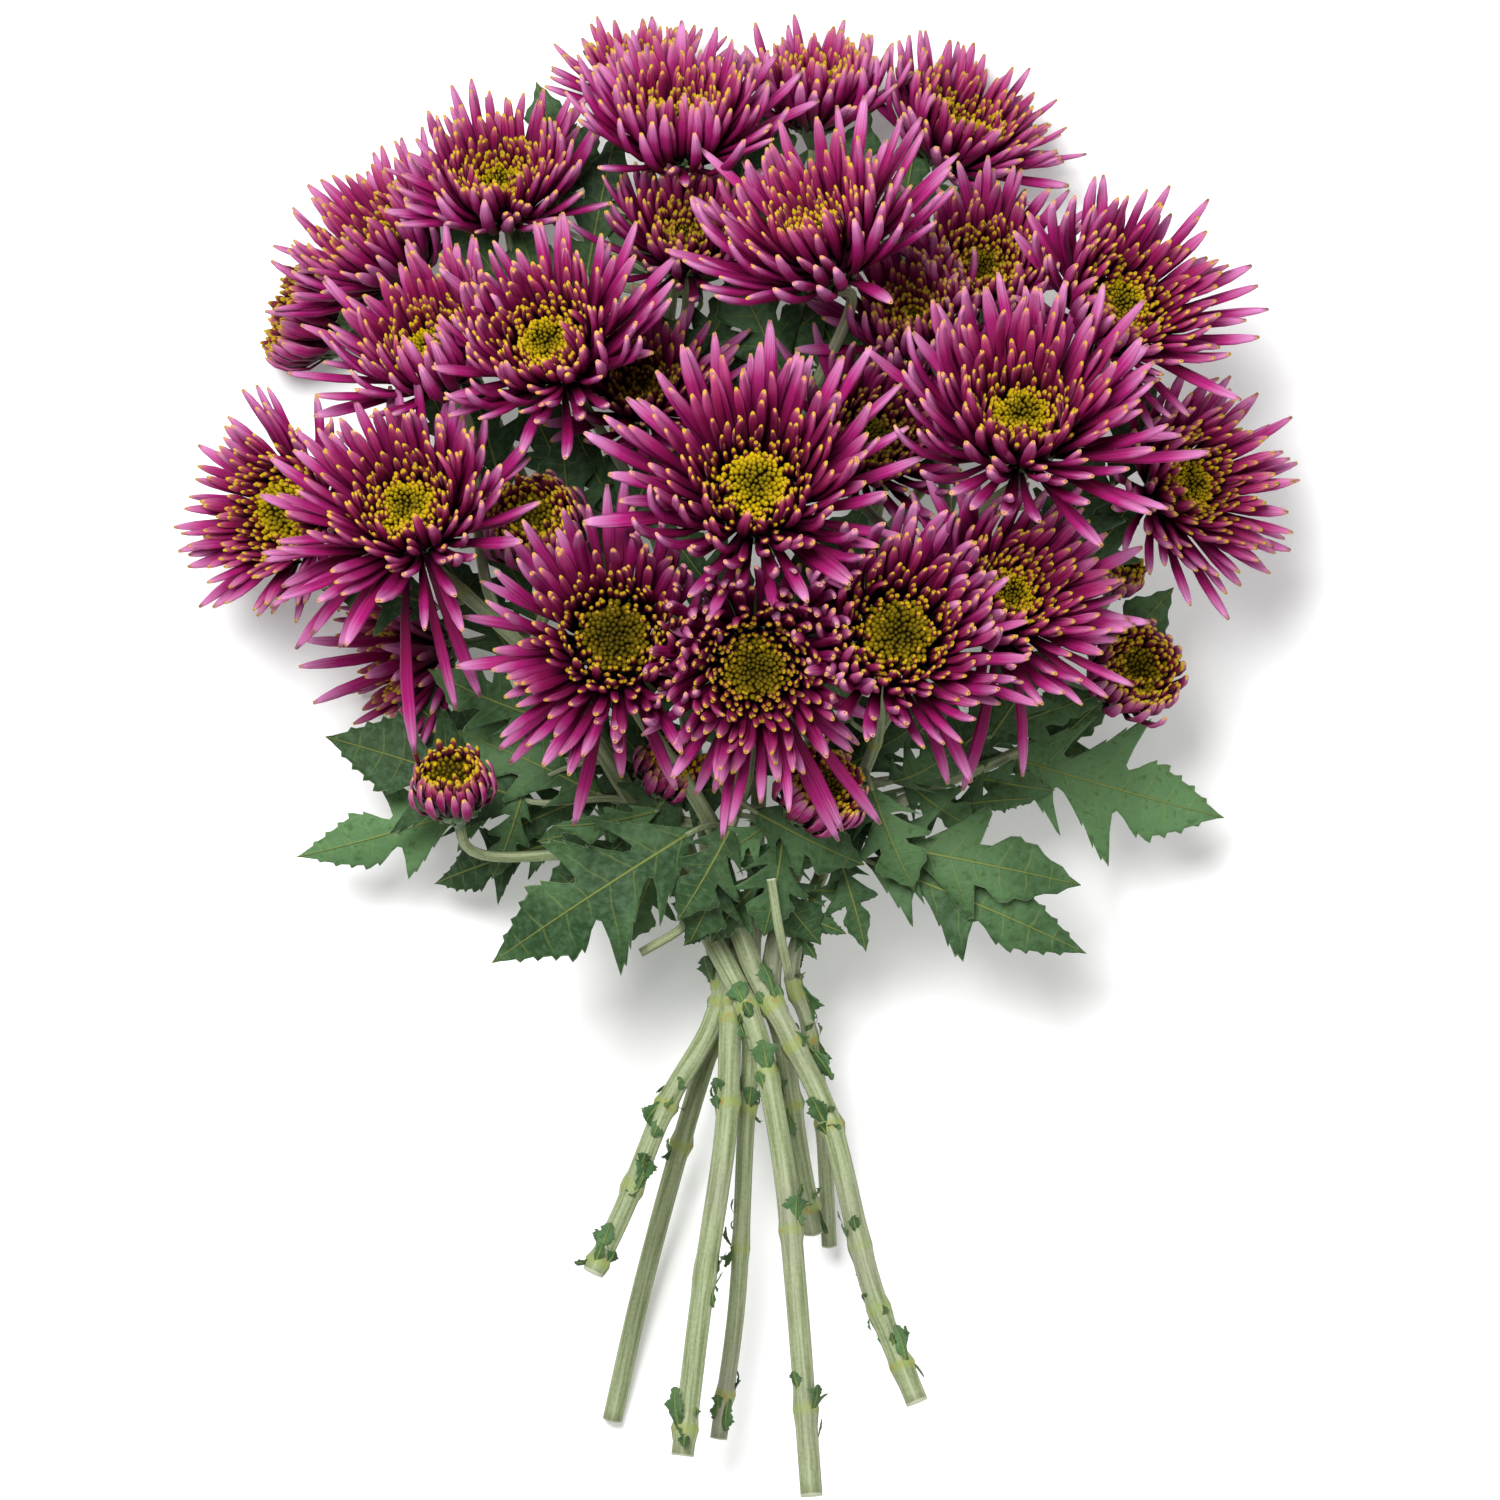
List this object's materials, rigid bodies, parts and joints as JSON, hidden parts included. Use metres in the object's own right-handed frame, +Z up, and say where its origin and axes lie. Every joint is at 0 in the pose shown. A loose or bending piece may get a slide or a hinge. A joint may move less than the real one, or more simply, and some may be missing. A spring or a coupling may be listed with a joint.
{
  "type": "spray chrysanthemum bunch",
  "caption": "Hand-tied bunch of spray chrysanthemums with quilled purple ray florets and yellow discs on leafy green stems, lying on its back.",
  "frame": {"origin": "on the surface that the bunch lies on, under the middle of its bounding box", "axes": "+X to the bunch's right, +Y from the cut stem ends to the blooms, +Z up, away from the surface, which is the way the nearest blooms face"},
  "size_m": [0.361, 0.4744, 0.1897],
  "materials": {
    "stem": "matte, pale green stems and dark green leaves",
    "ray_floret": "satin, purple with paler tips",
    "disc_floret": "matte, yellow-green",
    "tie": "matte green"
  },
  "bodies": {
    "root": {"stem_1": "stem", "stem_2": "stem", "stem_3": "stem", "stem_4": "stem", "stem_5": "stem", "stem_6": "stem", "stem_7": "stem", "stem_8": "stem", "tie": "tie", "bloom_01_rays": "ray_floret", "bloom_01_disc": "disc_floret", "bloom_02_rays": "ray_floret", "bloom_02_disc": "disc_floret", "bloom_03": "ray_floret", "bloom_04_rays": "ray_floret", "bloom_04_disc": "disc_floret", "bloom_05_rays": "ray_floret", "bloom_05_disc": "disc_floret", "bloom_06_rays": "ray_floret", "bloom_06_disc": "disc_floret", "bloom_07_rays": "ray_floret", "bloom_07_disc": "disc_floret", "bloom_08_rays": "ray_floret", "bloom_08_disc": "disc_floret", "bloom_09": "ray_floret", "bloom_10_rays": "ray_floret", "bloom_10_disc": "disc_floret", "bloom_11_rays": "ray_floret", "bloom_11_disc": "disc_floret", "bloom_12_rays": "ray_floret", "bloom_12_disc": "disc_floret", "bloom_13": "ray_floret", "bloom_14_rays": "ray_floret", "bloom_14_disc": "disc_floret", "bloom_15_rays": "ray_floret", "bloom_15_disc": "disc_floret", "bloom_16_rays": "ray_floret", "bloom_16_disc": "disc_floret", "bloom_17": "ray_floret", "bloom_18": "ray_floret", "bloom_19_rays": "ray_floret", "bloom_19_disc": "disc_floret", "bloom_20_rays": "ray_floret", "bloom_20_disc": "disc_floret", "bloom_21": "ray_floret", "bloom_22_rays": "ray_floret", "bloom_22_disc": "disc_floret", "bloom_23_rays": "ray_floret", "bloom_23_disc": "disc_floret", "bloom_24_rays": "ray_floret", "bloom_24_disc": "disc_floret", "bloom_25_rays": "ray_floret", "bloom_25_disc": "disc_floret", "bloom_26": "ray_floret", "bloom_27": "ray_floret", "bloom_28": "ray_floret", "bloom_29": "ray_floret", "bloom_30": "ray_floret", "bloom_31": "ray_floret", "bloom_32": "ray_floret"}
  },
  "joints": []
}
